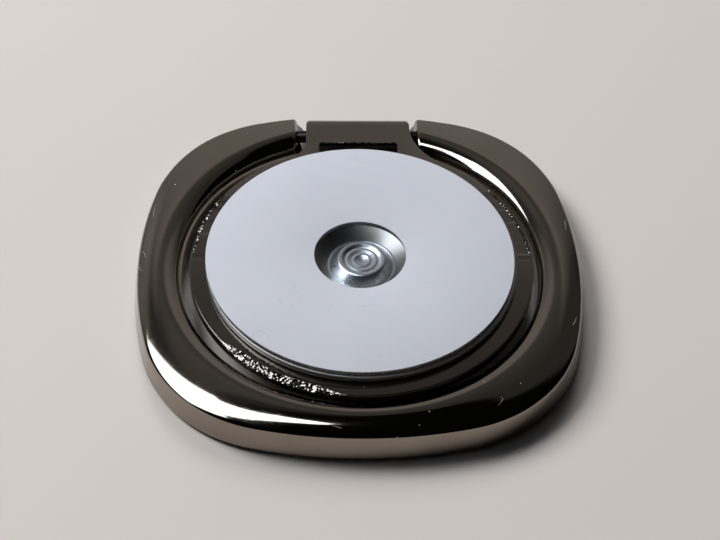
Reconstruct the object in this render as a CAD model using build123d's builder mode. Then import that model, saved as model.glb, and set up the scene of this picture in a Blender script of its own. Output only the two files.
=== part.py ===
"""Phone ring holder, lying front face down with its sticker side up. Millimetres, +Z up.

The origin is on the table under the middle of the ring. The hinge is at +Y.
"""
from build123d import *
import math
import os

# Ring: outline at its crease, wall below it, dome above it, and the draft of its outer and inner walls
ring_half_width = 20.5
ring_half_length = 20.4
ring_corner_share = 0.65
ring_square_share = 0.892
crease_height = 2.7
dome_rise = 1.0
wall_draft = 5.0
ring_bottom_round = 0.4
ring_end_round = 0.35

# Ring: widths of the band around its opening, and the rolled edge around the opening's top
band_side_width = 3.55
band_end_width = 3.65
opening_corner_share = 0.919
opening_square_share = 0.816
inner_round = 1.1
crest_land = 0.1

# Hinge: pin, the rolled knuckle around it, the tab that carries it and how far the ring has slid along
pin_inset = 2.65
pin_height = 2.5
pin_radius = 0.6
pin_play = 0.05
pin_socket_depth = 2.4
pin_end_play = 0.05
tab_half_width = 5.05
ring_end_gap = 0.7
hinge_slide = 0.12
roll_end_angle = 165.0
tab_flare_radius = 1.5

# Window punched through the root of the tab
window_half_width = 3.75
window_length = 1.5
window_to_pin = 2.55
window_corner_radius = 0.35

# Swivel plate and the axis it turns on, set back from the middle of the ring
swivel_offset = 1.03
plate_gap = 0.05
plate_thickness = 0.95
boss_radius = 4.1
boss_play = 0.05
face_play = 0.02

# Mount disc with its dished middle
mount_ledge = 1.47
mount_thickness = 0.55
dish_rim_radius = 4.25
dish_floor_radius = 3.35
dish_floor_thickness = 0.5
dish_lip_height = 0.95
boss_drop = 0.25

# Slip washer and spring washer
slip_inset = 2.2
slip_thickness = 0.1
spring_radius = 6.5
spring_thickness = 0.35

# Rivet: spun tail in the dish, shank and low front head
tail_radius = 3.17
tail_edge_height = 0.5
tail_crest_radius = 2.1
tail_crest_height = 1.4
crater_radius = 1.7
crater_depth = 0.25
dimple_radius = 0.7
dimple_depth = 0.35
shank_radius = 1.5
front_head_radius = 4.4
front_head_height = 0.9

# Sticker: foam adhesive and its paper release liner, laid a little to one side
sticker_inset = 0.2
sticker_hole_radius = 4.17
adhesive_thickness = 0.43
adhesive_inset = 0.08
liner_thickness = 0.1
sticker_shift = 0.15

# Outlines that follow from those sizes
ring_corner_radius = ring_corner_share * min(ring_half_width, ring_half_length)
opening_half_width = ring_half_width - band_side_width
opening_half_length = ring_half_length - band_end_width
opening_corner_radius = opening_corner_share * min(opening_half_width, opening_half_length)
plate_radius = min(opening_half_width - hinge_slide, opening_half_length - swivel_offset) - plate_gap
mount_radius = plate_radius - mount_ledge
slip_radius = mount_radius - slip_inset
sticker_radius = mount_radius - sticker_inset

# Heights and places that follow from those sizes
crest_height = crease_height + dome_rise
inner_wall_top = crest_height - inner_round
draft_slope = math.tan(math.radians(wall_draft))
wall_spread = crease_height * draft_slope
inner_spread = inner_wall_top * draft_slope
swivel_x = hinge_slide
swivel_y = -swivel_offset
pin_y = ring_half_length - pin_inset
window_middle_y = pin_y - window_to_pin - window_length / 2
knuckle_inner = pin_radius + pin_play
knuckle_outer = knuckle_inner + plate_thickness
plate_top = pin_height + knuckle_outer
plate_bottom = plate_top - plate_thickness
plate_hole_radius = boss_radius + boss_play
slip_bottom = plate_top + face_play
mount_bottom = slip_bottom + slip_thickness
mount_top = mount_bottom + mount_thickness
boss_bottom = plate_bottom - boss_drop
dish_floor = boss_bottom + dish_floor_thickness
adhesive_top = mount_top + adhesive_thickness
ring_end = tab_half_width + ring_end_gap
swivel_axis = Axis((swivel_x, swivel_y, 0), (0, 0, 1))
swivel_section = Plane(origin=(swivel_x, swivel_y, 0), x_dir=(1, 0, 0), z_dir=(0, -1, 0))
sticker_place = (swivel_x - sticker_shift, swivel_y)


def soft_square(half_width, half_length, corner_radius, square_share):
    """Rounded square of eight tangent arcs: four shallow sides and four corners.

    Take the corner radius off the half sizes, and a smaller four-sided figure is left: its corners are
    the corner arcs' centres. The square share is how far out they stand, as a share of its half sizes.
    """
    core_x = half_width - corner_radius
    core_y = half_length - corner_radius
    corner_x = core_x * square_share
    corner_y = core_y * square_share
    low = 2 * math.atan2(core_x - corner_x, corner_y)
    high = math.pi / 2 - 2 * math.atan2(core_y - corner_y, corner_x)
    reach_x = corner_y / math.sin(low)
    reach_y = corner_x / math.cos(high)
    low = math.degrees(low)
    high = math.degrees(high)
    side_radius_x = reach_x + corner_radius
    side_radius_y = reach_y + corner_radius
    CenterArc((core_x - reach_x, 0), side_radius_x, -low, 2 * low)
    CenterArc((corner_x, corner_y), corner_radius, low, high - low)
    CenterArc((0, core_y - reach_y), side_radius_y, high, 180 - 2 * high)
    CenterArc((-corner_x, corner_y), corner_radius, 180 - high, high - low)
    CenterArc((reach_x - core_x, 0), side_radius_x, 180 - low, 2 * low)
    CenterArc((-corner_x, -corner_y), corner_radius, 180 + low, high - low)
    CenterArc((0, reach_y - core_y), side_radius_y, 180 + high, 180 - 2 * high)
    CenterArc((corner_x, -corner_y), corner_radius, 360 - high, high - low)


def ring_outline(grow):
    """Outer outline of the ring, grown outwards by a distance."""
    soft_square(
        ring_half_width + grow,
        ring_half_length + grow,
        ring_corner_radius + grow,
        ring_square_share,
    )


def opening_outline(grow):
    """Outline of the ring's opening, grown outwards by a distance."""
    soft_square(
        opening_half_width + grow,
        opening_half_length + grow,
        opening_corner_radius + grow,
        opening_square_share,
    )


def dome_outline(share):
    """Outline part of the way from the crease (0) in to the crest (1)."""
    crest_grow = inner_round + crest_land

    def between(outer, inner):
        return outer + (inner - outer) * share

    soft_square(
        between(ring_half_width, opening_half_width + crest_grow),
        between(ring_half_length, opening_half_length + crest_grow),
        between(ring_corner_radius, opening_corner_radius + crest_grow),
        between(ring_square_share, opening_square_share),
    )


# Finger ring: drafted walls, domed top, rolled inner edge and a gap for the knuckle
section_steps = 4
same_place = 0.001
with BuildPart() as finger_ring:
    for height, grow in ((0, wall_spread), (crease_height, 0)):
        with BuildSketch(Plane.XY.offset(height)):
            with BuildLine():
                ring_outline(grow)
            make_face()
    loft(ruled=True)
    for step in range(section_steps + 1):
        share = step / section_steps
        with BuildSketch(Plane.XY.offset(crease_height + dome_rise * (1 - (1 - share) ** 2))):
            with BuildLine():
                dome_outline(share)
            make_face()
    loft()
    for height in (0, crest_height):
        with BuildSketch(Plane.XY.offset(height)):
            with BuildLine():
                opening_outline((height - inner_wall_top) * draft_slope)
            make_face()
    loft(ruled=True, mode=Mode.SUBTRACT)
    crest = finger_ring.faces().filter_by(Axis.Z).sort_by(Axis.Z)[-1]
    fillet(crest.inner_wires()[0].edges(), radius=inner_round)
    fillet(finger_ring.edges().group_by(Axis.Z)[0], radius=ring_bottom_round)
    with BuildSketch() as ring_plan:
        with BuildLine():
            ring_outline(wall_spread)
        make_face()
        with BuildLine():
            opening_outline(-inner_spread)
        make_face(mode=Mode.SUBTRACT)
        with Locations((0, opening_half_length / 2)):
            Rectangle(
                2 * ring_end,
                ring_half_length,
                align=(Align.CENTER, Align.MIN),
                mode=Mode.SUBTRACT,
            )
        back_corners = ring_plan.vertices().filter_by(lambda corner: corner.Y > 0)
        gap_corners = back_corners.filter_by(lambda corner: abs(abs(corner.X) - ring_end) < same_place)
        fillet(gap_corners, radius=ring_end_round)
    extrude(amount=crest_height, mode=Mode.INTERSECT)
    for side in (1, -1):
        with BuildSketch(Plane(origin=(side * ring_end, pin_y, pin_height), z_dir=(side, 0, 0))):
            Circle(pin_radius)
        extrude(amount=pin_socket_depth, mode=Mode.SUBTRACT)
finger_ring.part.label = "finger_ring"

# Hinge pin, pressed into the sockets in the two ends of the ring
pin_half_length = ring_end + pin_socket_depth - pin_end_play
with BuildPart() as hinge_pin:
    with BuildSketch(Plane(origin=(0, pin_y, pin_height), z_dir=(1, 0, 0))):
        Circle(pin_radius)
    extrude(amount=pin_half_length, both=True)
hinge_pin.part.label = "hinge_pin"

# Swivel plate: one sheet, a disc with a windowed tab rolled into the knuckle
with BuildPart() as swivel_plate:
    with BuildSketch(Plane.XY.offset(plate_bottom)) as plate_blank:
        with Locations((swivel_x, swivel_y)):
            Circle(plate_radius)
            Rectangle(2 * tab_half_width, pin_y - swivel_y, align=(Align.CENTER, Align.MIN))
        roots = plate_blank.vertices().sort_by(Axis.Y)[-4:-2]
        fillet(roots, radius=tab_flare_radius)
        with Locations((swivel_x, swivel_y)):
            Circle(plate_hole_radius, mode=Mode.SUBTRACT)
        with Locations((swivel_x, window_middle_y)):
            RectangleRounded(
                2 * window_half_width,
                window_length,
                window_corner_radius,
                mode=Mode.SUBTRACT,
            )
    extrude(amount=plate_thickness)
    with BuildSketch(Plane(origin=(swivel_x, pin_y, pin_height), x_dir=(0, 1, 0), z_dir=(1, 0, 0))):
        with BuildLine():
            roll_sweep = roll_end_angle - 360 - 90
            outer_roll = CenterArc((0, 0), knuckle_outer, 90, roll_sweep)
            inner_roll = CenterArc((0, 0), knuckle_inner, 90, roll_sweep)
            Line(outer_roll @ 0, inner_roll @ 0)
            Line(outer_roll @ 1, inner_roll @ 1)
        make_face()
    extrude(amount=tab_half_width, both=True)
swivel_plate.part.label = "swivel_plate"

# Mount disc: flat rim, dished middle whose outside is the boss that the plate turns on
with BuildPart() as mount_disc:
    with BuildSketch(swivel_section):
        with BuildLine():
            lip_bottom = mount_top - dish_lip_height
            Polyline(
                (dish_floor_radius, lip_bottom),
                (dish_floor_radius, dish_floor),
                (shank_radius, dish_floor),
                (shank_radius, boss_bottom),
                (boss_radius, boss_bottom),
                (boss_radius, mount_bottom),
                (mount_radius, mount_bottom),
                (mount_radius, mount_top),
                (dish_rim_radius, mount_top),
            )
            TangentArc((dish_floor_radius, lip_bottom), (dish_rim_radius, mount_top), tangent=(0, 1))
        make_face()
    revolve(axis=swivel_axis)
mount_disc.part.label = "mount_disc"

# Slip washer between the mount disc and the plate
with BuildPart() as slip_washer:
    with BuildSketch(Plane.XY.offset(slip_bottom)):
        with Locations((swivel_x, swivel_y)):
            Circle(slip_radius)
            Circle(plate_hole_radius, mode=Mode.SUBTRACT)
    extrude(amount=slip_thickness)
slip_washer.part.label = "slip_washer"

# Spring washer: clamped under the boss, its coned rim close under the plate
with BuildPart() as spring_washer:
    with BuildSketch(swivel_section):
        with BuildLine():
            Polyline(
                (shank_radius, boss_bottom),
                (boss_radius, boss_bottom),
                (spring_radius, plate_bottom - face_play),
                (spring_radius, plate_bottom - face_play - spring_thickness),
                (boss_radius, boss_bottom - spring_thickness),
                (shank_radius, boss_bottom - spring_thickness),
                close=True,
            )
        make_face()
    revolve(axis=swivel_axis)
spring_washer.part.label = "spring_washer"

# Rivet: spun tail with a crater and a centre dimple, shank, and a low domed front head
head_seat = boss_bottom - spring_thickness
tail_edge = dish_floor + tail_edge_height
tail_crest = dish_floor + tail_crest_height
crater_floor = tail_crest - crater_depth
with BuildPart() as rivet:
    with BuildSketch(swivel_section):
        with BuildLine():
            Polyline(
                (tail_crest_radius, tail_crest),
                (crater_radius, crater_floor),
                (dimple_radius, crater_floor),
                (0, crater_floor - dimple_depth),
                (0, head_seat - front_head_height),
            )
            TangentArc((0, head_seat - front_head_height), (front_head_radius, head_seat), tangent=(1, 0))
            Polyline(
                (front_head_radius, head_seat),
                (shank_radius, head_seat),
                (shank_radius, dish_floor),
                (tail_radius, dish_floor),
                (tail_radius, tail_edge),
            )
            TangentArc((tail_crest_radius, tail_crest), (tail_radius, tail_edge), tangent=(1, 0))
        make_face()
    revolve(axis=swivel_axis)
rivet.part.label = "rivet"

# Adhesive pad, cut a hair inside its liner
with BuildPart() as adhesive_pad:
    with BuildSketch(Plane.XY.offset(mount_top)):
        with Locations(sticker_place):
            Circle(sticker_radius - adhesive_inset)
            Circle(sticker_hole_radius + adhesive_inset, mode=Mode.SUBTRACT)
    extrude(amount=adhesive_thickness)
adhesive_pad.part.label = "adhesive_pad"

# Release liner, peeled off before use
with BuildPart() as release_liner:
    with BuildSketch(Plane.XY.offset(adhesive_top)):
        with Locations(sticker_place):
            Circle(sticker_radius)
            Circle(sticker_hole_radius, mode=Mode.SUBTRACT)
    extrude(amount=liner_thickness)
release_liner.part.label = "release_liner"

os.makedirs("parts", exist_ok=True)
pieces = (
    finger_ring,
    hinge_pin,
    swivel_plate,
    mount_disc,
    slip_washer,
    spring_washer,
    rivet,
    adhesive_pad,
    release_liner,
)
for piece in pieces:
    export_step(piece.part, f"parts/{piece.part.label}.step")
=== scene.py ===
"""Looks of the phone ring holder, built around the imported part.

Shapes are worked out in millimetres and put into the meshes in metres, in the part's own frame.
"""
import bmesh
import bpy
import math
import numpy as np
from mathutils import Matrix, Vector
from mathutils.geometry import tessellate_polygon


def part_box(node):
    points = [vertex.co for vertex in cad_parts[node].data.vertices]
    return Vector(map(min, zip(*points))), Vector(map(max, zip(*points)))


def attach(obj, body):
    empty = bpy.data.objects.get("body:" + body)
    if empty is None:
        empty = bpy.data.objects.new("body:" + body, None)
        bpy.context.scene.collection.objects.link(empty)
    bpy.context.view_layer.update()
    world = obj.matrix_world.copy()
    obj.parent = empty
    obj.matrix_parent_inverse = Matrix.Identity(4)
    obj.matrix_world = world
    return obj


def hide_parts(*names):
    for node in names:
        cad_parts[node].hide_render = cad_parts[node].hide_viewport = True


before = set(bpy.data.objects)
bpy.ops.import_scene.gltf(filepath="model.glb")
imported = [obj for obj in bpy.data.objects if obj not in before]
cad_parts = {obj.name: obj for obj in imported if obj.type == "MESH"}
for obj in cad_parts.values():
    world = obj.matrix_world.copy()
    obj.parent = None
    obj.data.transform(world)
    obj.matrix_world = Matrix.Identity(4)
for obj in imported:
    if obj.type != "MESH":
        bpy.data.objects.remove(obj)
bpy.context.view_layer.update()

MM = 0.001


def box(node):
    """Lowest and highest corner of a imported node, in millimetres."""
    low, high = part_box(node)
    return np.array(low) / MM, np.array(high) / MM


# Heights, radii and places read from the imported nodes
_, ring_high = box("finger_ring")
pin_low, pin_high = box("hinge_pin")
_, plate_high = box("swivel_plate")
mount_low, mount_high = box("mount_disc")
slip_low, slip_high = box("slip_washer")
_, spring_high = box("spring_washer")
rivet_low, rivet_high = box("rivet")
pad_low, pad_high = box("adhesive_pad")
liner_low, liner_high = box("release_liner")
crest_height = ring_high[2]
pin_y = (pin_low[1] + pin_high[1]) / 2
pin_height = (pin_low[2] + pin_high[2]) / 2
pin_radius = (pin_high[1] - pin_low[1]) / 2
pin_half_length = pin_high[0]
swivel_place = (mount_low[:2] + mount_high[:2]) / 2
sticker_place = (liner_low[:2] + liner_high[:2]) / 2
plate_top = plate_high[2]
plate_radius = plate_high[0] - swivel_place[0]
mount_top = mount_high[2]
mount_radius = mount_high[0] - swivel_place[0]
boss_bottom = mount_low[2]
slip_radius = slip_high[0] - swivel_place[0]
spring_top = spring_high[2]
spring_radius = spring_high[0] - swivel_place[0]
rivet_bottom = rivet_low[2]
rivet_top = rivet_high[2]
rivet_head_radius = rivet_high[0] - swivel_place[0]
liner_radius = liner_high[0] - sticker_place[0]

# Ring's outline at the crease, and its opening
ring_half_width = 20.35
ring_half_length = 20.25
ring_corner_share = 0.65
ring_square_share = 0.892
band_side_width = 3.57
band_end_width = 3.5
opening_corner_share = 0.919
opening_square_share = 0.816

# Ring's section: bottom, rounded inner edge, sweep to the crest, dome, crease, drafted wall and foot
ring_bottom_round = 0.4
inner_edge_round = 0.2
side_edge_round = 1.2
inner_sweep = 2.7
inner_slope = math.radians(30.0)
dome_power = 2.0
back_dome_power = 1.35
crease_height = 2.8
back_crease_height = 3.05
crease_blend = 0.16
wall_draft = math.radians(8.6)
ring_foot_round = 0.5

# Stretches of y where the front's section passes into the side's, and the side's into the back's
side_stretch = (-10.0, 2.0)
back_stretch = (11.0, 18.0)

# Ring's ends: the foot from the tab's middle, the top from the ring's middle, and the heights of the lean
ring_end_foot = 5.13
ring_end_top = 5.85
end_lean_low = 1.0
end_lean_high = 2.9
ring_end_round = 0.4

# Plate, its tab, window and rolled knuckle
plate_thickness = 0.95
plate_hole_radius = 4.15
plate_edge_round = 0.06
tab_half_width = 5.05
tab_flare_left = 2.5
tab_flare_right = 6.0
window_half_width = 3.75
window_length = 1.5
window_to_pin = 2.55
window_corner_radius = 0.35
window_throw = 0.16
window_undercut = 0.8
roll_edge_round = 0.3
roll_ease = math.radians(25.0)
roll_end_angle = math.radians(165.0 - 360.0)
knuckle_clearance = 0.05
knuckle_inner = pin_radius + knuckle_clearance

# Plate's sheared rim, each torn stretch with its start and end in degrees, its share of tear and its throw
rim_rollover = 0.12
rim_roll_end = 8.0
tear_width = 0.58
tear_depth = 0.28
tear_fade_out = 6.0
tear_fade_in = 4.0
torn_stretches = ((222, 258, 1.0, 0.045), (148, 174, 0.5, 0.11), (6, 36, 0.4, 0.09))

# Mount disc with its dish and boss
mount_thickness = 0.55
boss_radius = 4.1
boss_edge_round = 0.05
dish_rim_radius = 4.25
dish_floor_radius = 3.35
dish_floor_thickness = 0.5
dish_floor_height = boss_bottom + dish_floor_thickness
dish_lip_height = 0.8
dish_lip_round = 0.35
dish_foot_inset = 0.25
rim_edge_round = 0.12
sheet_edge_round = 0.1

# Rivet's shank and head, and its spun tail with a crater, a dimple, ripples and a beaded rim
shank_radius = 1.5
rivet_head_dome = 0.1
rivet_dome_round = 1.0
rivet_edge_round = 0.03
tail_radius = 3.17
tail_edge_height = 0.5
tail_edge_round = 0.08
tail_crest_radius = 2.1
tail_crest_round = 0.3
crater_radius = 1.7
crater_depth = 0.25
crater_lip_width = 0.1
crater_lip_drop = 0.06
crater_lip_round = 0.06
crater_foot_inset = 0.15
crater_foot_round = 0.1
dimple_radius = 0.7
dimple_depth = 0.35
dimple_round = 0.1
trough_width = 0.25
trough_depth = 0.05
swell_inset = 0.4
swell_height = 0.06
ripple_round = 0.15
bead_radius = 3.05
bead_width = 0.2
bead_slope_height = 0.1
bead_slope_round = 0.05
bead_groove_depth = 0.06
bead_groove_round = 0.04

# Washers, pin and sticker
spring_thickness = 0.35
spring_bend_round = 0.5
spring_edge_round = 0.05
spring_bore_round = 0.03
washer_edge_round = 0.02
pin_end_round = 0.1
liner_hole_radius = 4.17
pad_inset = 0.08
pad_edge_round = 0.06

# Lint: a hair's radius, the share of its swell cut off at each end, and its lift in radii
fibre_radius = 0.014
fibre_taper = 0.12
fibre_lift = 0.6

# Finishes, with the box of painted shade inside the hinge given by its faces
spun_pitch = 0.06
hairline_turns = (0.5, 2.2)
hairline_stretch = (1.0, 22.0, 6.0)
speck_sharpness = 25.0
dust_colour = (0.50, 0.48, 0.46, 1.0)
# Painted shade: near-black colour laid over the metal inside the hinge, fading out a short way past the box's
# faces
painted_shade_colour = (0.03, 0.027, 0.024, 1.0)
painted_shade_fade = 0.15
ring_painted_shade = {"Side": 5.8, "Front": 14.0, "Back": 21.0, "Top": 3.2}
plate_painted_shade = {"Side": 4.6, "Front": 14.0, "Back": 16.9, "Top": 3.9}

# Meshing: number of points along each stretch, welding and chance
ring_steps = 720
ring_bottom_steps = 6
ring_wall_steps = 7
inner_edge_steps = 12
inner_sweep_steps = 22
dome_steps = 34
crease_steps = 7
draft_steps = 8
ring_foot_steps = 10
ring_end_steps = 7
end_angle_guess = math.radians(72.0)
end_angle_rounds = 30
edge_steps = 4
rim_steps = 9
tab_steps = 20
flare_steps = 24
plate_rim_steps = 640
plate_hole_steps = 120
window_corner_steps = 8
window_teeth = 46
roll_steps = 72
rivet_round_steps = 6
disc_segments = 360
rivet_segments = 240
washer_segments = 180
pin_segments = 64
fibre_steps = 12
fibre_sides = 6
plate_sharp_angle = 12.0
weld_distance = 1e-7
chance = np.random.default_rng(11)


# Meshes
def grid(points, wrap_rows=False, wrap_columns=False):
    """Corners and four-sided faces of a grid, each face joining a point to its next row and column."""
    rows, columns = points.shape[:2]
    index = np.arange(rows * columns).reshape(rows, columns)
    if wrap_rows:
        index = np.vstack([index, index[:1]])
    if wrap_columns:
        index = np.hstack([index, index[:, :1]])
    faces = np.stack([index[:-1, :-1], index[:-1, 1:], index[1:, 1:], index[1:, :-1]], axis=-1)
    return points.reshape(-1, 3), faces.reshape(-1, 4).tolist()


def flat_face(loops, height):
    """Flat face at one height: the first loop's inside, less the inside of every other loop."""
    lifted = [np.column_stack([loop, np.full(len(loop), height)]) for loop in loops]
    triangles = tessellate_polygon([loop.tolist() for loop in lifted])
    return np.vstack(lifted), [list(triangle) for triangle in triangles]


def piece(name, surfaces, body, nodes, material, sharp_angle=40.0):
    """One mesh from several surfaces: seams welded, faces turned outwards, hung on its body."""
    corners = []
    faces = []
    count = 0
    for points, polygons in surfaces:
        corners.append(points * MM)
        faces += [[corner + count for corner in polygon] for polygon in polygons]
        count += len(points)
    mesh = bpy.data.meshes.new(name)
    mesh.from_pydata(np.vstack(corners).tolist(), [], faces)
    work = bmesh.new()
    work.from_mesh(mesh)
    bmesh.ops.remove_doubles(work, verts=work.verts, dist=weld_distance)
    bmesh.ops.recalc_face_normals(work, faces=work.faces)
    work.to_mesh(mesh)
    work.free()
    mesh.shade_smooth()
    mesh.set_sharp_from_angle(angle=math.radians(sharp_angle))
    mesh.materials.append(material)
    obj = bpy.data.objects.new(name, mesh)
    bpy.context.scene.collection.objects.link(obj)
    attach(obj, body)
    if nodes:
        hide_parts(*nodes)


def arc(centre, radius, start, end, steps):
    """Points on a circle's arc from one angle to another, in degrees."""
    angle = np.radians(np.linspace(start, end, steps))
    return np.column_stack([centre[0] + radius * np.cos(angle), centre[1] + radius * np.sin(angle)])


def rounded(corners, radii, steps=5):
    """Open line through corner points, each inner corner replaced by an arc tangent to both its sides."""
    corners = np.array(corners, float)
    line = [corners[:1]]
    for before, corner, after, radius in zip(corners, corners[1:], corners[2:], radii):
        back = (before - corner) / np.linalg.norm(before - corner)
        on = (after - corner) / np.linalg.norm(after - corner)
        half = math.acos(np.clip(back @ on, -1, 1)) / 2
        middle = corner + (back + on) / np.linalg.norm(back + on) * radius / math.sin(half)
        start = corner + back * radius / math.tan(half) - middle
        end = corner + on * radius / math.tan(half) - middle
        turn = math.atan2(start[0] * end[1] - start[1] * end[0], start @ end)
        angle = math.atan2(start[1], start[0]) + np.linspace(0, turn, steps)
        line.append(middle + radius * np.column_stack([np.cos(angle), np.sin(angle)]))
    return np.vstack(line + [corners[-1:]])


def turned(profile, place, segments):
    """Profile of radius and height carried round an upright axis."""
    angle = np.linspace(0, 2 * np.pi, segments, endpoint=False)[:, None]
    x = place[0] + profile[:, 0] * np.cos(angle)
    y = place[1] + profile[:, 0] * np.sin(angle)
    return grid(np.stack([x, y, np.broadcast_to(profile[:, 1], x.shape)], axis=-1), wrap_rows=True)


def between(first, last, value):
    """Smooth step from 0 at the first value to 1 at the last, which may be the lower one."""
    share = np.clip((value - first) / (last - first), 0, 1)
    return share * share * (3 - 2 * share)


# Node trees
def feed_socket(tree, socket, value):
    """Links an input to another node's output, or sets a plain value on it."""
    if isinstance(value, bpy.types.NodeSocket):
        tree.links.new(value, socket)
    else:
        socket.default_value = value


def new_node(tree, kind, inputs=None, **settings):
    """A node with its settings and its inputs, which are linked or set."""
    node = tree.nodes.new(kind)
    for name, value in settings.items():
        setattr(node, name, value)
    for name, value in (inputs or {}).items():
        feed_socket(tree, node.inputs[name], value)
    return node


def feed(tree, shader, **inputs):
    """Links or sets the shader's inputs, underscores standing for spaces."""
    for name, value in inputs.items():
        feed_socket(tree, shader.inputs[name.replace("_", " ")], value)


def maths(tree, operation, *values, clamp=False):
    """Result of a maths node on sockets and plain numbers."""
    node = new_node(tree, "ShaderNodeMath", dict(enumerate(values)), operation=operation, use_clamp=clamp)
    return node.outputs[0]


def vector_maths(tree, operation, *values, output="Vector"):
    """Result of a vector maths node on sockets and plain vectors."""
    node = new_node(tree, "ShaderNodeVectorMath", dict(enumerate(values)), operation=operation)
    return node.outputs[output]


def noise(tree, vector, scale, detail=2.0, distortion=0.0):
    """Grey value of a cloudy noise, its scale in features a metre."""
    inputs = {"Vector": vector, "Scale": scale, "Detail": detail, "Distortion": distortion}
    return new_node(tree, "ShaderNodeTexNoise", inputs).outputs["Fac"]


def spread(tree, value, low, high, to_low=0.0, to_high=1.0):
    """Value taken from one range to another, held at its ends."""
    inputs = {"Value": value, "From Min": low, "From Max": high, "To Min": to_low, "To Max": to_high}
    return new_node(tree, "ShaderNodeMapRange", inputs, clamp=True).outputs["Result"]


def mixed(tree, share, first, second):
    """Colour between two colours."""
    node = new_node(tree, "ShaderNodeMix", data_type="RGBA")
    colours = [socket for socket in node.inputs if socket.type == "RGBA"]
    for socket, value in zip([node.inputs["Factor"], *colours], (share, first, second)):
        feed_socket(tree, socket, value)
    return next(socket for socket in node.outputs if socket.type == "RGBA")


def group_tree(name, inputs, output):
    """Empty shader group with a vector input, named number inputs and one number output."""
    tree = bpy.data.node_groups.new(name, "ShaderNodeTree")
    tree.interface.new_socket("Vector", in_out="INPUT", socket_type="NodeSocketVector")
    for label in inputs:
        tree.interface.new_socket(label, in_out="INPUT", socket_type="NodeSocketFloat")
    tree.interface.new_socket(output, in_out="OUTPUT", socket_type="NodeSocketFloat")
    given = tree.nodes.new("NodeGroupInput").outputs
    result = tree.nodes.new("NodeGroupOutput").inputs[output]
    return tree, given, result


def specks_group():
    """Round specks: a share of the cells holds one, within a radius of the cell's point."""
    tree, given, result = group_tree("specks", ("Scale", "Share", "Radius"), "Mask")
    cells = new_node(tree, "ShaderNodeTexVoronoi", {"Vector": given["Vector"], "Scale": given["Scale"]})
    chances = new_node(tree, "ShaderNodeSeparateColor", {"Color": cells.outputs["Color"]})
    held = maths(tree, "LESS_THAN", chances.outputs["Red"], given["Share"])
    radius = maths(tree, "MULTIPLY", chances.outputs["Green"], given["Radius"])
    depth = maths(tree, "SUBTRACT", radius, cells.outputs["Distance"])
    inside = maths(tree, "MULTIPLY", depth, speck_sharpness, clamp=True)
    tree.links.new(maths(tree, "MULTIPLY", inside, held), result)
    return tree


def hairlines_group():
    """Fine straight scratches: where noises drawn out along two directions pass through their middle value."""
    tree, given, result = group_tree("hairlines", ("Scale", "Width"), "Mask")
    lines = []
    for turn in hairline_turns:
        drawn = new_node(
            tree,
            "ShaderNodeMapping",
            {"Vector": given["Vector"], "Rotation": (0.0, 0.0, turn), "Scale": hairline_stretch},
        )
        cloud = noise(tree, drawn.outputs["Vector"], given["Scale"])
        away = maths(tree, "ABSOLUTE", maths(tree, "SUBTRACT", cloud, 0.5))
        lines.append(maths(tree, "SUBTRACT", 1.0, maths(tree, "DIVIDE", away, given["Width"]), clamp=True))
    both = maths(tree, "MAXIMUM", *lines)
    broken = spread(tree, noise(tree, given["Vector"], 400.0), 0.5, 0.62)
    tree.links.new(maths(tree, "MULTIPLY", both, broken), result)
    return tree


def smudges_group():
    """Soft patches, as fingers leave them: a cloudy noise twisted by itself."""
    tree, given, result = group_tree("smudges", ("Scale",), "Value")
    cloud = noise(tree, given["Vector"], given["Scale"], detail=4.0, distortion=0.6)
    tree.links.new(spread(tree, cloud, 0.35, 0.7), result)
    return tree


def painted_shade_group():
    """Painted shade inside the hinge: 1 in a low box about the pin, falling to 0 past its side, end and top
    faces.
    """
    tree, given, result = group_tree("painted_shade", ("Side", "Front", "Back", "Top"), "Mask")
    place = new_node(tree, "ShaderNodeSeparateXYZ", {"Vector": given["Vector"]}).outputs
    past_side = maths(tree, "SUBTRACT", maths(tree, "ABSOLUTE", place["X"]), given["Side"])
    past_front = maths(tree, "SUBTRACT", given["Front"], place["Y"])
    past_back = maths(tree, "SUBTRACT", place["Y"], given["Back"])
    past_top = maths(tree, "SUBTRACT", place["Z"], given["Top"])
    past_end = maths(tree, "MAXIMUM", past_front, past_back)
    furthest = maths(tree, "MAXIMUM", maths(tree, "MAXIMUM", past_side, past_top), past_end)
    tree.links.new(spread(tree, furthest, 0.0, painted_shade_fade * MM, 1.0, 0.0), result)
    return tree


specks = specks_group()
hairlines = hairlines_group()
smudges = smudges_group()
painted_shade = painted_shade_group()


def part_of(tree, group, **values):
    """Output of one of the groups, with its values set."""
    return new_node(tree, "ShaderNodeGroup", values, node_tree=group).outputs[0]


def new_material(name):
    """Material with its tree, its principled shader and the object's coordinates."""
    material = bpy.data.materials.new(name)
    material.use_nodes = True
    tree = material.node_tree
    place = new_node(tree, "ShaderNodeTexCoord").outputs["Object"]
    return material, tree, tree.nodes["Principled BSDF"], place


def bump(tree, height, distance):
    """Normal from a height that spans a distance given in millimetres."""
    return new_node(tree, "ShaderNodeBump", {"Height": height, "Distance": distance * MM}).outputs["Normal"]


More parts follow.
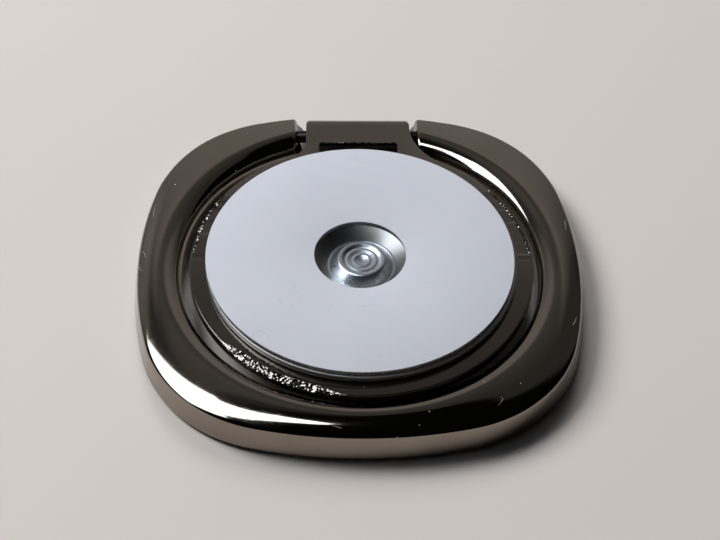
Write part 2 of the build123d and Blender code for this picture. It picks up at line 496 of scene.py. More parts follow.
def plated(name, dark, light, polish, dust_share, grain, painted_shade_box=None):
    """Black nickel plate: smudged, scratched metal with specks of dust, and near-black painted shade inside
    the hinge if asked for.
    """
    material, tree, shader, place = new_material(name)
    smudge = part_of(tree, smudges, Vector=place, Scale=140.0)
    scratch = part_of(tree, hairlines, Vector=place, Scale=90.0, Width=0.012)
    dust = part_of(tree, specks, Vector=place, Scale=900.0, Share=dust_share, Radius=0.09)
    metal = mixed(tree, smudge, (*dark, 1.0), (*light, 1.0))
    if painted_shade_box:
        faces = {face: size * MM for face, size in painted_shade_box.items()}
        # Painted shade: the metal's colour goes near-black inside the hinge box
        metal = mixed(tree, part_of(tree, painted_shade, Vector=place, **faces), metal, painted_shade_colour)
    rough = maths(tree, "MULTIPLY_ADD", smudge, 0.03, polish)
    rough = maths(tree, "MULTIPLY_ADD", scratch, 0.05, rough)
    height = maths(tree, "MULTIPLY_ADD", noise(tree, place, 2500.0), grain, scratch)
    feed(
        tree,
        shader,
        Base_Color=mixed(tree, dust, metal, dust_colour),
        Metallic=maths(tree, "SUBTRACT", 1.0, dust),
        Roughness=maths(tree, "MULTIPLY_ADD", dust, 0.6, rough, clamp=True),
        Normal=bump(tree, height, 0.0003),
    )
    return material


def spun_zinc(name):
    """Bright zinc: rings of fine turning marks about the swivel axis, with smudges and dust."""
    material, tree, shader, place = new_material(name)
    to_axis = (-swivel_place[0] * MM, -swivel_place[1] * MM, 0.0)
    flattened = (1.0, 1.0, 0.0)
    centred = new_node(
        tree, "ShaderNodeMapping", {"Vector": place, "Location": to_axis, "Scale": flattened}
    )
    reach = vector_maths(tree, "LENGTH", centred.outputs["Vector"], output="Value")
    wander = noise(tree, place, 3000.0)
    turns = maths(tree, "MULTIPLY_ADD", reach, 2 * math.pi / (spun_pitch * MM), wander)
    marks = maths(tree, "MULTIPLY", maths(tree, "SINE", turns), noise(tree, place, 900.0))
    smudge = part_of(tree, smudges, Vector=place, Scale=500.0)
    dust = part_of(tree, specks, Vector=place, Scale=2200.0, Share=0.35, Radius=0.13)
    metal = mixed(tree, smudge, (0.84, 0.88, 0.93, 1.0), (0.70, 0.745, 0.80, 1.0))
    feed(
        tree,
        shader,
        Base_Color=mixed(tree, dust, metal, dust_colour),
        Metallic=maths(tree, "SUBTRACT", 1.0, dust),
        Roughness=maths(tree, "MULTIPLY_ADD", smudge, 0.12, 0.26),
        Normal=bump(tree, marks, 0.0022),
    )
    return material


def brushed_steel(name, colour, worn, polish):
    """Plain steel: cloudy in colour and gloss, with hairlines."""
    material, tree, shader, place = new_material(name)
    smudge = part_of(tree, smudges, Vector=place, Scale=300.0)
    scratch = part_of(tree, hairlines, Vector=place, Scale=120.0, Width=0.03)
    feed(
        tree,
        shader,
        Base_Color=mixed(tree, smudge, (*colour, 1.0), (*worn, 1.0)),
        Metallic=1.0,
        Roughness=maths(tree, "MULTIPLY_ADD", smudge, 0.12, polish),
        Normal=bump(tree, scratch, 0.002),
    )
    return material


def coated_paper(name):
    """Release paper: a cool white coat with faint clouding, a few short thin marks, flecks and fibre grain."""
    material, tree, shader, place = new_material(name)
    cloud = part_of(tree, smudges, Vector=place, Scale=110.0)
    curl = maths(tree, "ABSOLUTE", maths(tree, "SUBTRACT", noise(tree, place, 520.0, detail=0.0), 0.5))
    patch = spread(tree, noise(tree, place, 290.0, detail=0.0), 0.7, 0.73)
    marks = maths(tree, "MULTIPLY", spread(tree, curl, 0.008, 0.02, 1.0, 0.0), patch)
    fleck = part_of(tree, specks, Vector=place, Scale=700.0, Share=0.5, Radius=0.1)
    coat = mixed(tree, cloud, (0.60, 0.632, 0.712, 1.0), (0.575, 0.607, 0.687, 1.0))
    coat = mixed(tree, maths(tree, "MULTIPLY", marks, 0.25), coat, (0.36, 0.38, 0.46, 1.0))
    coat = mixed(tree, maths(tree, "MULTIPLY", fleck, 0.3), coat, (0.40, 0.41, 0.46, 1.0))
    grain = noise(tree, place, 5000.0, detail=3.0)
    feed(
        tree,
        shader,
        Base_Color=coat,
        Roughness=spread(tree, grain, 0.3, 0.7, 0.75, 0.85),
        Normal=bump(tree, grain, 0.004),
    )
    return material


def foam_tape(name):
    """Foam edge: grey with darker open pores and pale crumbs."""
    material, tree, shader, place = new_material(name)
    pore = part_of(tree, specks, Vector=place, Scale=4500.0, Share=0.8, Radius=0.6)
    crumb = part_of(tree, specks, Vector=place, Scale=2500.0, Share=0.4, Radius=0.3)
    open_cells = mixed(tree, pore, (0.30, 0.292, 0.28, 1.0), (0.12, 0.117, 0.112, 1.0))
    feed(
        tree,
        shader,
        Base_Color=mixed(tree, crumb, open_cells, (0.50, 0.49, 0.48, 1.0)),
        Roughness=spread(tree, noise(tree, place, 3000.0), 0.3, 0.7, 0.65, 0.9),
        Normal=bump(tree, maths(tree, "SUBTRACT", crumb, pore), 0.05),
    )
    return material


def milky_film(name):
    """Slip film: milky plastic, clouded and rubbed."""
    material, tree, shader, place = new_material(name)
    rub = part_of(tree, hairlines, Vector=place, Scale=120.0, Width=0.03)
    cloud = part_of(tree, smudges, Vector=place, Scale=200.0)
    feed(
        tree,
        shader,
        Base_Color=mixed(tree, cloud, (0.70, 0.70, 0.68, 1.0), (0.62, 0.62, 0.60, 1.0)),
        Roughness=maths(tree, "MULTIPLY_ADD", rub, 0.2, 0.35),
        Normal=bump(tree, rub, 0.002),
    )
    return material


def lint_fluff(name):
    """Lint: pale fibres, greyer along their length."""
    material, tree, shader, place = new_material(name)
    shade = noise(tree, place, 2500.0)
    feed(
        tree,
        shader,
        Base_Color=mixed(tree, shade, (0.62, 0.60, 0.58, 1.0), (0.40, 0.39, 0.38, 1.0)),
        Roughness=spread(tree, shade, 0.3, 0.7, 0.6, 0.9),
    )
    return material


def table_top(name):
    """Pale table: a warm white with very faint clouding and grain."""
    material, tree, shader, place = new_material(name)
    cloud = noise(tree, place, 25.0, detail=3.0)
    feed(
        tree,
        shader,
        Base_Color=mixed(tree, cloud, (0.69, 0.652, 0.63, 1.0), (0.665, 0.63, 0.607, 1.0)),
        Roughness=spread(tree, noise(tree, place, 900.0), 0.3, 0.7, 0.55, 0.7),
    )
    return material


ring_plate = plated(
    "gunmetal_ring",
    dark=(0.272, 0.234, 0.196),
    light=(0.296, 0.257, 0.217),
    polish=0.06,
    dust_share=0.55,
    grain=0.3,
    painted_shade_box=ring_painted_shade,
)
sheet_plate = plated(
    "gunmetal_plate",
    dark=(0.205, 0.179, 0.152),
    light=(0.23, 0.202, 0.172),
    polish=0.12,
    dust_share=0.3,
    grain=0.8,
    painted_shade_box=plate_painted_shade,
)
disc_plate = plated(
    "gunmetal_disc",
    dark=(0.285, 0.275, 0.255),
    light=(0.32, 0.31, 0.288),
    polish=0.36,
    dust_share=0.25,
    grain=1.5,
)
zinc = spun_zinc("bright_zinc")
spring_steel = brushed_steel(
    "spring_steel", colour=(0.40, 0.39, 0.38), worn=(0.32, 0.31, 0.30), polish=0.25
)
# The pin's near-black colour is partly dirt and partly painted shade for the shaded inside of the hinge
dark_pin = brushed_steel(
    "dark_pin", colour=(0.06, 0.056, 0.052), worn=(0.04, 0.038, 0.035), polish=0.3
)
paper = coated_paper("liner_paper")
foam = foam_tape("foam_tape")
film = milky_film("slip_film")
lint = lint_fluff("lint")


# Ring
def soft_square(angle, half_width, half_length, corner_radius, square_share):
    """Distance from the middle to a rounded square of eight tangent arcs, at each angle.

    The corner radius is taken off the half sizes, and the corner arcs' centres stand at the square share
    of what is left. Each side is the arc through both its corners' ends. A ray from the middle meets an arc
    of radius r about a centre c at b + sqrt(b * b - c * c + r * r), b being c measured along the ray.
    """
    core_x = half_width - corner_radius
    core_y = half_length - corner_radius
    corner_x = core_x * square_share
    corner_y = core_y * square_share
    low = 2 * np.arctan2(core_x - corner_x, corner_y)
    high = np.pi / 2 - 2 * np.arctan2(core_y - corner_y, corner_x)
    reach_x = corner_y / np.sin(low)
    reach_y = corner_x / np.cos(high)
    across = np.abs(np.cos(angle))
    along = np.abs(np.sin(angle))

    def hit(centre_x, centre_y, radius):
        nearest = centre_x * across + centre_y * along
        return nearest + np.sqrt(nearest**2 - centre_x**2 - centre_y**2 + radius**2)

    slope = np.arctan2(along, across)
    low_end = np.arctan2(corner_y + corner_radius * np.sin(low), corner_x + corner_radius * np.cos(low))
    high_end = np.arctan2(corner_y + corner_radius * np.sin(high), corner_x + corner_radius * np.cos(high))
    side_x = hit(core_x - reach_x, 0, reach_x + corner_radius)
    side_y = hit(0, core_y - reach_y, reach_y + corner_radius)
    corner = hit(corner_x, corner_y, corner_radius)
    return np.where(slope < low_end, side_x, np.where(slope > high_end, side_y, corner))


def ring_section(edge_round, crease, power):
    """Rows of the ring's section: half width, half length, corner radius, square share and height of each.

    From the foot of the opening the rows climb its wall, turn over a rounded edge, sweep up a wide arc to the
    crest, fall along the dome, height falling with a power of the way out, and go down the wall to the foot.
    The crest is the same for every edge round, and a rounder edge takes the opening's wall further in.
    """
    opening = np.array(
        (
            ring_half_width - band_side_width,
            ring_half_length - band_end_width,
            opening_corner_share * (ring_half_length - band_end_width),
            opening_square_share,
        )
    )
    outline = np.array(
        (ring_half_width, ring_half_length, ring_corner_share * ring_half_length, ring_square_share)
    )
    grown = np.array((1, 1, 1, 0))
    edge_grow = edge_round * (1 - math.sin(inner_slope))
    opening = opening - (edge_round - inner_edge_round) * (1 - math.sin(inner_slope)) * grown
    crest = opening + (edge_grow + inner_sweep * math.sin(inner_slope)) * grown
    slope_height = crest_height - inner_sweep * (1 - math.cos(inner_slope))
    wall_top = slope_height - edge_round * math.cos(inner_slope)
    rows = []
    for angle in np.linspace(-math.pi / 2, 0, ring_bottom_steps):
        grow = ring_bottom_round * (1 - math.cos(angle))
        rows.append((*(opening + grow * grown), ring_bottom_round * (1 + math.sin(angle))))
    for height in np.linspace(ring_bottom_round, wall_top, ring_wall_steps)[1:-1]:
        rows.append((*opening, height))
    for tilt in np.linspace(math.pi / 2, inner_slope, inner_edge_steps)[:-1]:
        grow = edge_round * (1 - math.sin(tilt))
        rows.append((*(opening + grow * grown), wall_top + edge_round * math.cos(tilt)))
    for tilt in np.linspace(inner_slope, 0, inner_sweep_steps)[:-1]:
        grow = edge_grow + inner_sweep * (math.sin(inner_slope) - math.sin(tilt))
        rows.append((*(opening + grow * grown), crest_height - inner_sweep * (1 - math.cos(tilt))))
    last_share = 1 - crease_blend / (outline[0] - crest[0])
    for share in np.linspace(0, last_share, dome_steps):
        height = crest_height - (crest_height - crease) * share**power
        rows.append((*(crest + (outline - crest) * share), height))
    crease_row = len(rows)
    rows.append((*outline, crease))
    slope = math.tan(wall_draft)
    for height in np.linspace(crease - crease_blend, ring_foot_round, draft_steps)[:-1]:
        rows.append((*(outline + (crease - height) * slope * grown), height))
    foot = (crease - ring_foot_round) * slope - ring_foot_round / math.cos(wall_draft)
    for angle in np.linspace(wall_draft, -math.pi / 2, ring_foot_steps):
        grow = foot + ring_foot_round * math.cos(angle)
        rows.append((*(outline + grow * grown), ring_foot_round * (1 + math.sin(angle))))
    return np.array(rows), crease_row


front_section = (inner_edge_round, crease_height, dome_power)
side_section = (side_edge_round, crease_height, dome_power)
back_section = (side_edge_round, back_crease_height, back_dome_power)


def swept_section(edge_round, crease, power):
    """Points of one section carried round its outlines, and the number of its crease row.

    A row's angle runs evenly between the two places where its outline meets the leaning ends. Each of those is
    found by rounds of angle = arccos(distance of the end / distance to the outline at the last angle).
    """
    rows, crease_row = ring_section(edge_round, crease, power)
    half_width, half_length, corner_radius, square_share, height = rows.T[:, :, None]
    lean = between(end_lean_low, end_lean_high, height)
    ends = []
    for tab_shift in (swivel_place[0], -swivel_place[0]):
        foot = ring_end_foot + tab_shift
        gap = foot + (ring_end_top - foot) * lean + ring_end_round
        end_angle = np.full_like(half_width, end_angle_guess)
        for _ in range(end_angle_rounds):
            reach = soft_square(end_angle, half_width, half_length, corner_radius, square_share)
            end_angle = np.arccos(gap / reach)
        ends.append(end_angle)
    angle = ends[0] - np.linspace(0, 1, ring_steps) * (np.pi + ends[0] + ends[1])
    reach = soft_square(angle, half_width, half_length, corner_radius, square_share)
    height = np.broadcast_to(height, reach.shape)
    return np.stack([reach * np.cos(angle), reach * np.sin(angle), height], axis=-1), crease_row


def inset_section(section, distance):
    """Closed section moved inwards, each point square to the line through its two neighbours."""
    along = np.roll(section, -1, axis=0) - np.roll(section, 1, axis=0)
    along /= np.linalg.norm(along, axis=1)[:, None]
    inwards = np.column_stack([-along[:, 1], along[:, 0]])
    middle = section.mean(axis=0)
    if ((middle - section) * inwards).sum() < 0:
        inwards = -inwards
    return section + inwards * distance


def finger_ring():
    """Ring: its front section swept round, passing into the side's and then the back's over stretches of y.

    The crease is a quadratic blend of the rows beside it. The ends shrink by an arc and close on their middle.
    """
    points, crease_row = swept_section(*front_section)
    for section, stretch in ((side_section, side_stretch), (back_section, back_stretch)):
        onwards, _ = swept_section(*section)
        points = points + (onwards - points) * between(*stretch, onwards[..., 1:2])
    share = np.linspace(0, 1, crease_steps)[1:-1, None, None]
    before, corner, after = points[crease_row - 1], points[crease_row], points[crease_row + 1]
    blend = (1 - share) ** 2 * before + 2 * share * (1 - share) * corner + share**2 * after
    points = np.concatenate([points[:crease_row], blend, points[crease_row + 1:]])
    caps = []
    for column, side in ((0, 1), (-1, -1)):
        section = points[:, column, 1:]
        cap = []
        for turn in np.radians(np.linspace(0, 90, ring_end_steps))[1:]:
            shrunk = inset_section(section, ring_end_round * (1 - math.cos(turn)))
            x = points[:, column, 0] - side * ring_end_round * math.sin(turn)
            cap.append(np.column_stack([x, shrunk]))
        cap.append(np.broadcast_to(cap[-1].mean(axis=0), cap[-1].shape))
        caps.append(np.stack(cap, axis=1))
    return grid(np.concatenate([caps[0][:, ::-1], points, caps[1]], axis=1), wrap_rows=True)


piece("finger_ring_polished", [finger_ring()], "ring", ["finger_ring"], ring_plate)


# Plate with its sheared rim, tab, window and rolled knuckle
def edge_profile(top_round):
    """Edge of the sheet, from its top face round to its bottom face: way out from the face, and height."""
    top = arc((-top_round, plate_thickness - top_round), top_round, 90, 0, edge_steps)
    bottom = arc((-plate_edge_round, plate_edge_round), plate_edge_round, 0, -90, edge_steps)
    return np.vstack([top, bottom])


def rim(path, profile, base, closed):
    """Edge profile carried along a path, each point moved out square to the path.

    The profile is one list of points for the whole path, or one list for each point of the path.
    """
    if closed:
        along = np.roll(path, -1, axis=0) - np.roll(path, 1, axis=0)
    else:
        along = np.gradient(path, axis=0)
    along /= np.linalg.norm(along, axis=1)[:, None]
    outwards = np.column_stack([-along[:, 1], along[:, 0]])
    profile = np.broadcast_to(profile, (len(path), *profile.shape[-2:]))
    places = path[:, None] + outwards[:, None] * profile[..., :1]
    return np.concatenate([places, base + profile[..., 1:]], axis=-1)


def sheared_profile(torn, throw):
    """Edge profiles along a sheared rim: a rolled-over top edge, or a torn slope, above a plain lower edge.

    The arc of the roll passes into the slope as the tear grows, and each point of it is thrown out of place by
    chance, as far as the throw at that place.
    """
    torn = torn[:, None, None]
    throw = throw[:, None, None]
    roll = arc((-rim_rollover, -rim_rollover), rim_rollover, 90, rim_roll_end, rim_steps)
    slope = np.linspace(
        (-tear_width - plate_edge_round, 0), (-plate_edge_round, -tear_depth), rim_steps - 1
    )
    slope = np.vstack([slope, (0, -tear_depth - plate_edge_round)])
    thrown = chance.uniform(-1, 1, (len(torn), len(roll), 2)) * throw
    thrown[:, [0, -1]] = 0
    top = roll + (slope - roll) * torn + thrown + (0, plate_thickness)
    bottom = edge_profile(plate_edge_round)[edge_steps:]
    return np.concatenate([top, np.broadcast_to(bottom, (len(torn), *bottom.shape))], axis=1)


def plate_path():
    """Outline of the plate: clockwise from the roll's right end, down the tab, flare, disc, flare, tab."""
    tab_end = pin_y - swivel_place[1]

    def tab_side(flare_radius):
        flare_x = tab_half_width + flare_radius
        flare_y = math.sqrt((plate_radius + flare_radius) ** 2 - flare_x**2)
        root = math.degrees(math.atan2(flare_y, flare_x))
        y = np.linspace(tab_end, flare_y, tab_steps)
        straight = np.column_stack([np.full(tab_steps, tab_half_width), y])
        flare = arc((flare_x, flare_y), flare_radius, 180, 180 + root, flare_steps)
        return np.vstack([straight, flare[1:]]), root

    right, right_root = tab_side(tab_flare_right)
    left, left_root = tab_side(tab_flare_left)
    disc = arc((0, 0), plate_radius, right_root, -180 - left_root, plate_rim_steps)
    return np.vstack([right, disc[1:-1], left[::-1] * (-1, 1)]) + swivel_place


def tears(path):
    """How torn the plate's rim is at each point of its path, and how far its points are thrown there."""
    away = path - swivel_place
    angle = np.degrees(np.arctan2(away[:, 1], away[:, 0])) % 360
    torn = np.zeros(len(path))
    throw = np.zeros(len(path))
    for start, end, most, furthest in torn_stretches:
        begun = between(start - tear_fade_out, start + tear_fade_in, angle)
        ended = between(end - tear_fade_in, end + tear_fade_out, angle)
        inside = begun * (1 - ended)
        torn = np.maximum(torn, most * inside)
        throw = np.maximum(throw, furthest * inside)
    return torn, throw


def window_path():
    """Rounded rectangle, anticlockwise, its outwards side being the window's inside, torn along the back."""
    x = window_half_width - window_corner_radius
    y = window_length / 2 - window_corner_radius
    teeth = y + window_corner_radius - window_throw * chance.random(window_teeth)
    side = np.column_stack([np.linspace(x, -x, window_teeth), teeth])
    corners = []
    for corner_x, corner_y, start in ((x, y, 0), (-x, y, 90), (-x, -y, 180), (x, -y, 270)):
        centre = (corner_x, corner_y)
        corners.append(arc(centre, window_corner_radius, start, start + 90, window_corner_steps))
    path = np.vstack([corners[0], side[1:-1], *corners[1:]])
    return path + (swivel_place[0], pin_y - window_to_pin - window_length / 2)


def swivel_plate():
    """Flat sheet between its rims, and its edge profile mirrored into a strip and carried round the pin."""
    base = plate_top - plate_thickness
    profile = edge_profile(plate_edge_round)
    path = plate_path()
    outside = rim(path, sheared_profile(*tears(path)), base, closed=False)
    undercut = profile.copy()
    undercut[:, 0] -= window_undercut * (1 - profile[:, 1] / plate_thickness)
    window = rim(window_path(), undercut, base, closed=True)
    hole = arc(swivel_place, plate_hole_radius, 0, 360, plate_hole_steps + 1)[:-1]
    hole = rim(hole, profile, base, closed=True)
    turn = np.linspace(math.pi / 2, roll_end_angle, roll_steps)[:, None]
    eased = between(math.pi / 2, math.pi / 2 - roll_ease, turn)[..., None]
    right_edge = profile + (edge_profile(roll_edge_round) - profile) * eased + (tab_half_width, 0)
    left_edge = right_edge[:, ::-1] * (-1, 1)
    strip = np.concatenate([right_edge, left_edge], axis=1)
    reach = knuckle_inner + strip[..., 1]
    y = pin_y + reach * np.cos(turn)
    z = pin_height + reach * np.sin(turn)
    roll = np.stack([swivel_place[0] + strip[..., 0], y, z], axis=-1)
    loops = [outside, window, hole]
    return [
        grid(outside),
        grid(window, wrap_rows=True),
        grid(hole, wrap_rows=True),
        flat_face([loop[:, 0, :2] for loop in loops], plate_top),
        flat_face([loop[:, -1, :2] for loop in loops], base),
        grid(roll, wrap_columns=True),
        (roll[-1], [list(range(len(roll[-1])))]),
    ]


piece(
    "swivel_plate_rolled",
    swivel_plate(),
    "swivel",
    ["swivel_plate"],
    sheet_plate,
    sharp_angle=plate_sharp_angle,
)


# Mount disc, sticker, rivet and washers
def mount_profile():
    """Half section of the mount disc: dish with its coned wall, flat rim and the boss under it."""
    under = mount_top - mount_thickness
    corners = [
        (shank_radius, dish_floor_height),
        (dish_floor_radius, dish_floor_height),
        (dish_floor_radius - dish_foot_inset, mount_top - dish_lip_height),
        (dish_rim_radius, mount_top),
        (mount_radius, mount_top),
        (mount_radius, under),
        (boss_radius, under),
        (boss_radius, boss_bottom),
        (shank_radius, boss_bottom),
        (shank_radius, dish_floor_height),
    ]
    dish_rounds = [boss_edge_round, boss_edge_round, dish_lip_round]
    rim_rounds = [rim_edge_round, sheet_edge_round, sheet_edge_round]
    boss_rounds = [boss_edge_round, boss_edge_round]
    return rounded(corners, dish_rounds + rim_rounds + boss_rounds)


def washer_profile(inner, outer, low, high, edge_round):
    """Half section of a flat washer with softened edges."""
    corners = [((inner + outer) / 2, high), (outer, high), (outer, low), (inner, low), (inner, high)]
    return rounded(corners + corners[:1], [edge_round] * 4)


def rivet_profile():
    """Half section of the rivet: dimple, crater, spun tail with a beaded rim, shank and low front head.

    Each row gives a corner's radius and height, and the round on it.
    """
    crater = rivet_top - crater_depth
    edge = dish_floor_height + tail_edge_height
    seat = boss_bottom - spring_thickness
    corners = np.array(
        [
            (0, crater - dimple_depth, 0),
            (dimple_radius, crater, dimple_round),
            (dimple_radius + trough_width, crater - trough_depth, ripple_round),
            (crater_radius - swell_inset, crater + swell_height, ripple_round),
            (crater_radius - crater_foot_inset, crater, crater_foot_round),
            (crater_radius + crater_lip_width, rivet_top - crater_lip_drop, crater_lip_round),
            (tail_crest_radius, rivet_top, tail_crest_round),
            (bead_radius - bead_width, edge + bead_slope_height, bead_slope_round),
            (bead_radius - bead_width / 2, edge - bead_groove_depth, bead_groove_round),
            (bead_radius - bead_width / 4, edge, bead_groove_round),
            (tail_radius, edge, tail_edge_round),
            (tail_radius, dish_floor_height, rivet_edge_round),
            (shank_radius, dish_floor_height, rivet_edge_round),
            (shank_radius, seat, rivet_edge_round),
            (rivet_head_radius, seat, rivet_edge_round),
            (rivet_head_radius / 2, rivet_bottom + rivet_head_dome, rivet_dome_round),
            (0, rivet_bottom, 0),
        ]
    )
    return rounded(corners[:, :2], corners[1:-1, 2], rivet_round_steps)


def spring_profile():
    """Half section of the coned spring washer."""
    corners = [
        (shank_radius, boss_bottom),
        (boss_radius, boss_bottom),
        (spring_radius, spring_top),
        (spring_radius, spring_top - spring_thickness),
        (boss_radius, boss_bottom - spring_thickness),
        (shank_radius, boss_bottom - spring_thickness),
        (shank_radius, boss_bottom),
    ]
    rim_rounds = [spring_edge_round] * 2
    return rounded(corners, [spring_bend_round, *rim_rounds, spring_bend_round, spring_bore_round])


pad_hole_radius = liner_hole_radius + pad_inset
pad_radius = liner_radius - pad_inset
liner_section = washer_profile(
    liner_hole_radius, liner_radius, liner_low[2], liner_high[2], washer_edge_round
)
pad_section = washer_profile(pad_hole_radius, pad_radius, pad_low[2], pad_high[2], pad_edge_round)
slip_section = washer_profile(
    plate_hole_radius, slip_radius, slip_low[2], slip_high[2], washer_edge_round
)
mount_pieces = (
    ("mount_disc", "pressed", mount_profile(), swivel_place, disc_segments, "gunmetal_disc", disc_plate),
    ("release_liner", "paper", liner_section, sticker_place, disc_segments, "liner_paper", paper),
    ("adhesive_pad", "foam", pad_section, sticker_place, disc_segments, "foam_tape", foam),
    ("rivet", "spun", rivet_profile(), swivel_place, rivet_segments, "bright_zinc", zinc),
    ("spring_washer", "coned", spring_profile(), swivel_place, washer_segments, "spring_steel", spring_steel),
    ("slip_washer", "film", slip_section, swivel_place, washer_segments, "slip_film", film),
)
for node, finish, profile, place, segments, slot, material in mount_pieces:
    piece(f"{node}_{finish}", [turned(profile, place, segments)], "mount", [node], material)


# Pin
def hinge_pin():
    """Round pin with eased ends, its profile carried round the hinge axis."""
    corners = [
        (0, -pin_half_length),
        (pin_radius, -pin_half_length),
        (pin_radius, pin_half_length),
        (0, pin_half_length),
    ]
    profile = rounded(corners, [pin_end_round] * 2)
    angle = np.linspace(0, 2 * np.pi, pin_segments, endpoint=False)[:, None]
    y = pin_y + profile[:, 0] * np.cos(angle)
    z = pin_height + profile[:, 0] * np.sin(angle)
    return grid(np.stack([np.broadcast_to(profile[:, 1], y.shape), y, z], axis=-1), wrap_rows=True)


piece("hinge_pin_round", [hinge_pin()], "ring", ["hinge_pin"], dark_pin)


# Lint on the ring
def on_ring(angle, row):
    """Points of the ring's surface at angles about its middle and places along the rows of its section."""
    rows, _ = ring_section(*front_section)
    index = np.arange(len(rows))
    sizes = [np.interp(row, index, column) for column in rows.T]
    reach = soft_square(angle, *sizes[:4])
    return np.stack([reach * np.cos(angle), reach * np.sin(angle), sizes[4]], axis=-1)


def fibre(angle, row, turn, slide, bend):
    """Thin round hair lying on the ring: a bowed path over its surface, swept by a small circle.

    The path runs from an angle in degrees and a row of the section, on by a turn and a slide over the rows.
    """
    share = np.linspace(0, 1, fibre_steps)
    bow = bend * np.sin(np.pi * share)
    path = on_ring(np.radians(angle + turn * share + bow), row + slide * share)
    along = np.gradient(path, axis=0)
    along /= np.linalg.norm(along, axis=1)[:, None]
    side = np.cross(along, (0, 0, 1))
    side /= np.linalg.norm(side, axis=1)[:, None]
    rise = np.cross(side, along)
    round_angle = np.linspace(0, 2 * np.pi, fibre_sides, endpoint=False)[None, :, None]
    swell = np.sin(np.pi * np.linspace(fibre_taper, 1 - fibre_taper, fibre_steps))[:, None, None]
    tube = side[:, None] * np.cos(round_angle) + rise[:, None] * (np.sin(round_angle) + fibre_lift)
    return grid(path[:, None] + fibre_radius * swell * tube, wrap_columns=True)


_, crease_row = ring_section(*front_section)
fibres = [
    fibre(158.0, crease_row - 4, 5.0, -5.0, 1.5),
    fibre(176.0, crease_row - 2, 3.0, -9.0, -1.0),
    fibre(183.0, crease_row - 6, -2.5, 5.0, 0.8),
    fibre(262.0, crease_row - 12, 2.5, 3.0, 0.6),
    fibre(304.0, crease_row - 10, 2.0, -6.0, 0.9),
    fibre(338.0, crease_row - 8, 3.0, 4.0, -1.2),
    fibre(12.0, crease_row - 9, 4.0, 6.0, 1.4),
]
piece("ring_lint", fibres, "ring", [], lint)

# Camera at the photograph's viewing angle
image_width = 720
image_height = 540
focal_pixels = 1868.4
sensor_width = 36.0
nearest_view = 10.0
camera_heading = math.radians(2.5)
camera_elevation = math.radians(46.531)
camera_roll = math.radians(1.887)
camera_distance = 169.41
aim_pixel = (360.15, 254.29)
aim_place = np.array((*sticker_place, liner_high[2]))


def camera_axes():
    """Right, up and forward directions from the heading, the elevation and the roll about the view."""
    flat = math.cos(camera_elevation)
    forward = np.array(
        (flat * math.sin(camera_heading), flat * math.cos(camera_heading), -math.sin(camera_elevation))
    )
    level = np.array((math.cos(camera_heading), -math.sin(camera_heading), 0))
    upright = np.cross(level, forward)
    right = math.cos(camera_roll) * level + math.sin(camera_roll) * upright
    up = math.cos(camera_roll) * upright - math.sin(camera_roll) * level
    return right, up, forward


def stand(obj, axes, place):
    """Puts a camera or lamp at a place in millimetres, its three axes given as directions."""
    rows = np.column_stack(axes).tolist()
    obj.matrix_world = Matrix([[*row, at * MM] for row, at in zip(rows, place)] + [[0, 0, 0, 1]])
    bpy.context.scene.collection.objects.link(obj)


right, up, forward = camera_axes()
across = (aim_pixel[0] - image_width / 2) / focal_pixels * camera_distance
above = (image_height / 2 - aim_pixel[1]) / focal_pixels * camera_distance
camera_place = aim_place - right * across - up * above - forward * camera_distance
camera_data = bpy.data.cameras.new("camera")
camera_data.sensor_width = sensor_width
camera_data.lens = focal_pixels * sensor_width / image_width
camera_data.clip_start = nearest_view * MM
camera = bpy.data.objects.new("camera", camera_data)
stand(camera, (right, up, -forward), camera_place)
bpy.context.scene.camera = camera

# Floor
floor_half = 1500.0
floor_drop = 0.02
floor_mesh = bpy.data.meshes.new("floor")
floor_corners = ((-1, -1), (1, -1), (1, 1), (-1, 1))
floor_mesh.from_pydata(
    [(x * floor_half * MM, y * floor_half * MM, -floor_drop * MM) for x, y in floor_corners],
    [],
    [(0, 1, 2, 3)],
)
floor_mesh.materials.append(table_top("table_top"))
floor = bpy.data.objects.new("floor", floor_mesh)
bpy.context.scene.collection.objects.link(floor)

# Lamps that light the table and the dull surfaces, at one height
lamp_elevation = 44.0
lamp_distance = 700.0
lamp_size = (260.0, 330.0)
lamp_colour = (1.0, 0.985, 0.97)
key_azimuth = 58.0
key_radiance = 17.0
fill_azimuth = 5.0
fill_radiance = 6.6

# Cards that show in the polished surfaces: an upright window, from angle to angle, and a strip overhead
card_radiance = 5.5
card_start = 58.5
card_end = 109.0
card_low = 32.0
card_high = 68.0
card_distance = 260.0
card_colour = (0.87, 0.96, 1.08)
strip_place = (-175.0, 10.0, 500.0)
strip_side = (1.0, -1.0, 0.0)
strip_size = (380.0, 90.0)
strip_colour = (0.87, 0.96, 1.1)

# Room: glow by height of a direction, fainter haze, and patches by azimuth, elevation, edge and brightness
room_colour = (1.0, 0.98, 0.96, 1.0)
room_dark = 0.003
glow_at_table = 0.27
glow_stops = ((0.66, 0.26), (0.69, 0.2), (0.72, 0.06), (0.86, 0.02))
glow_end = 0.905
glow_sides = (0.7, 0.98)
haze_brightness = 0.06
haze_sides = (0.45, 0.51)
haze_end = (0.9, 0.915)
haze_foot_height = 0.3
haze_foot_share = 0.5
room_patches = ((46.0, 17.0, 0.95, 0.2), (25.0, 60.0, 0.96, 0.06))
patch_core = 0.99


def heading(azimuth, elevation=0.0):
    """Direction at an angle from the hinge side towards the left, and an angle above the table."""
    azimuth = math.radians(azimuth)
    elevation = math.radians(elevation)
    flat = math.cos(elevation)
    return np.array((-math.sin(azimuth) * flat, math.cos(azimuth) * flat, math.sin(elevation)))


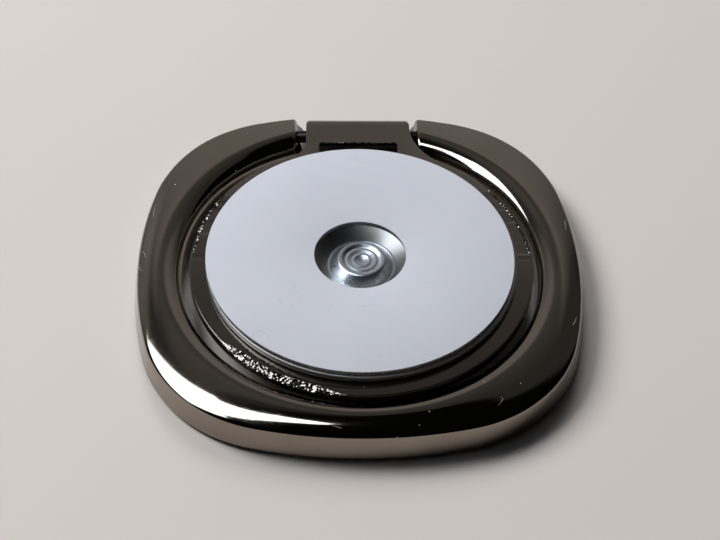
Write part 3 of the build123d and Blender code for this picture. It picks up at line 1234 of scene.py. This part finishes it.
def soft_box(name, shape, place, back, side, size, radiance, colour, mirrored):
    """Lamp of one brightness all over, at a place, its back and its width along given directions.

    A mirrored lamp is a card that only shows in polished surfaces, and the other kind only lights the rest.
    """
    data = bpy.data.lights.new(name, "AREA")
    data.shape = shape
    data.size = size[0] * MM
    data.size_y = size[1] * MM
    data.energy = radiance * math.pi * data.size * data.size_y
    data.color = colour
    lamp = bpy.data.objects.new(name, data)
    lamp.visible_camera = False
    lamp.visible_diffuse = not mirrored
    lamp.visible_glossy = mirrored
    back = np.array(back, float) / np.linalg.norm(back)
    side = np.array(side, float) - back * (back @ side)
    side /= np.linalg.norm(side)
    stand(lamp, (side, np.cross(back, side), back), place)


for name, azimuth, radiance in (("key", key_azimuth, key_radiance), ("fill", fill_azimuth, fill_radiance)):
    towards = heading(azimuth, lamp_elevation)
    soft_box(
        name,
        "RECTANGLE",
        towards * lamp_distance,
        towards,
        heading(azimuth + 90),
        lamp_size,
        radiance,
        lamp_colour,
        mirrored=False,
    )
card_middle = (card_start + card_end) / 2
card_half_width = card_distance * math.tan(math.radians(card_end - card_middle))
card_bottom = card_distance * math.tan(math.radians(card_low))
card_top = card_distance * math.tan(math.radians(card_high))
soft_box(
    "window_card",
    "RECTANGLE",
    heading(card_middle) * card_distance + (0, 0, (card_bottom + card_top) / 2),
    heading(card_middle),
    heading(card_middle + 90),
    (2 * card_half_width, card_top - card_bottom),
    card_radiance,
    card_colour,
    mirrored=True,
)
soft_box(
    "strip_card",
    "ELLIPSE",
    strip_place,
    (0, 0, 1),
    strip_side,
    strip_size,
    card_radiance,
    strip_colour,
    mirrored=True,
)


def grey(brightness):
    """Solid grey of one brightness."""
    return (brightness, brightness, brightness, 1.0)


def room():
    """World: a warm glow on the hinge side, falling off upwards to a sharp end, a haze about it and patches.

    A direction's height is its z, and how far it looks to the hinge side is the y of its level part. A patch
    grows with the dot product of the direction and the patch's own.
    """
    world = bpy.data.worlds.new("room")
    world.use_nodes = True
    tree = world.node_tree
    direction = new_node(tree, "ShaderNodeTexCoord").outputs["Generated"]
    level = vector_maths(tree, "NORMALIZE", vector_maths(tree, "MULTIPLY", direction, (1.0, 1.0, 0.0)))
    hingewards = new_node(tree, "ShaderNodeSeparateXYZ", {"Vector": level}).outputs["Y"]
    height = new_node(tree, "ShaderNodeSeparateXYZ", {"Vector": direction}).outputs["Z"]
    ramp = new_node(tree, "ShaderNodeValToRGB", {"Fac": height})
    stops = ramp.color_ramp.elements
    for stop_height, brightness in glow_stops:
        stops.new(stop_height).color = grey(brightness)
    stops[0].color = grey(glow_at_table)
    stops[-1].position = glow_end
    stops[-1].color = grey(0.0)
    hinge_side = maths(tree, "MULTIPLY", spread(tree, hingewards, *glow_sides), ramp.outputs["Color"])
    haze = spread(tree, height, *haze_end, haze_brightness, 0.0)
    haze = maths(tree, "MULTIPLY", spread(tree, hingewards, *haze_sides), haze)
    haze = maths(tree, "MULTIPLY", haze, spread(tree, height, 0.0, haze_foot_height, haze_foot_share, 1.0))
    glow = maths(tree, "ADD", maths(tree, "ADD", hinge_side, haze), room_dark)
    for azimuth, elevation, edge, brightness in room_patches:
        nearness = vector_maths(tree, "DOT_PRODUCT", direction, heading(azimuth, elevation), output="Value")
        glow = maths(tree, "ADD", glow, spread(tree, nearness, edge, patch_core, 0.0, brightness))
    background = tree.nodes["Background"]
    background.inputs["Color"].default_value = room_colour
    tree.links.new(glow, background.inputs["Strength"])
    bpy.context.scene.world = world


room()
bpy.context.scene.view_settings.view_transform = "Standard"
